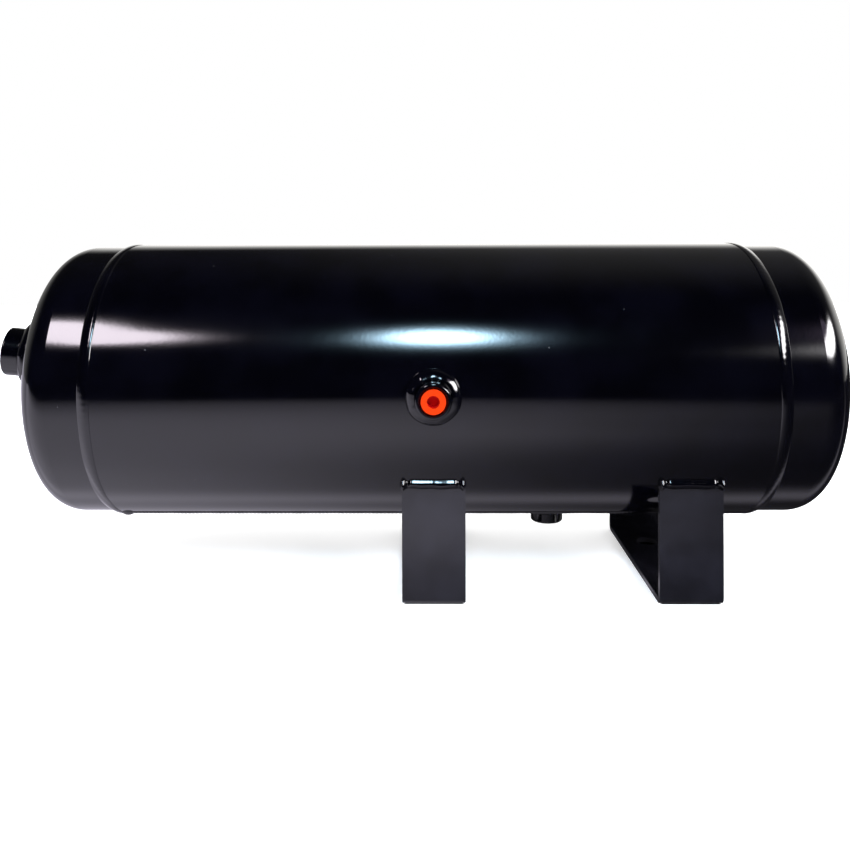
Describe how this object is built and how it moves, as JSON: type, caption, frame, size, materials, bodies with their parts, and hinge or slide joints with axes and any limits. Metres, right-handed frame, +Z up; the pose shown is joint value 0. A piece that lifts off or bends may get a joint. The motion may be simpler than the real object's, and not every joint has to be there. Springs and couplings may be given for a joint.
{
  "type": "air receiver tank",
  "caption": "Horizontal welded steel air receiver with dished heads, threaded end, front and drain ports, a push-in port plug and strip-steel saddle feet.",
  "frame": {"origin": "middle of the left foot's sole, below the vessel's mid-length", "axes": "+X along the vessel towards the plain head, +Z up, the plugged port faces -Y"},
  "size_m": [0.504, 0.1814, 0.2007],
  "materials": {
    "vessel_paint": "gloss black",
    "weld_paint": "gloss black over a welded bead",
    "port_paint": "gloss black",
    "bracket_paint": "gloss black",
    "plug_plastic": "orange moulded plastic"
  },
  "bodies": {
    "tank": {"shell": "vessel_paint", "left_head": "vessel_paint", "right_head": "vessel_paint", "left_girth_weld": "weld_paint", "right_girth_weld": "weld_paint", "seam_weld": "weld_paint", "seam_start_weld": "weld_paint", "end_port_coupling": "port_paint", "end_port_weld": "weld_paint", "front_port_coupling": "port_paint", "front_port_weld": "weld_paint", "drain_port_coupling": "port_paint", "drain_port_weld": "weld_paint", "left_bracket": "bracket_paint", "right_bracket": "bracket_paint", "left_bracket_front_weld": "weld_paint", "left_bracket_rear_weld": "weld_paint", "right_bracket_front_weld": "weld_paint", "right_bracket_rear_weld": "weld_paint"},
    "plug": {"front_port_plug": "plug_plastic"}
  },
  "joints": [
    {"name": "plug_pull", "type": "slide", "parent": "tank", "child": "plug", "axis": [0, -1, 0], "range_m": [0, 0.03]}
  ]
}
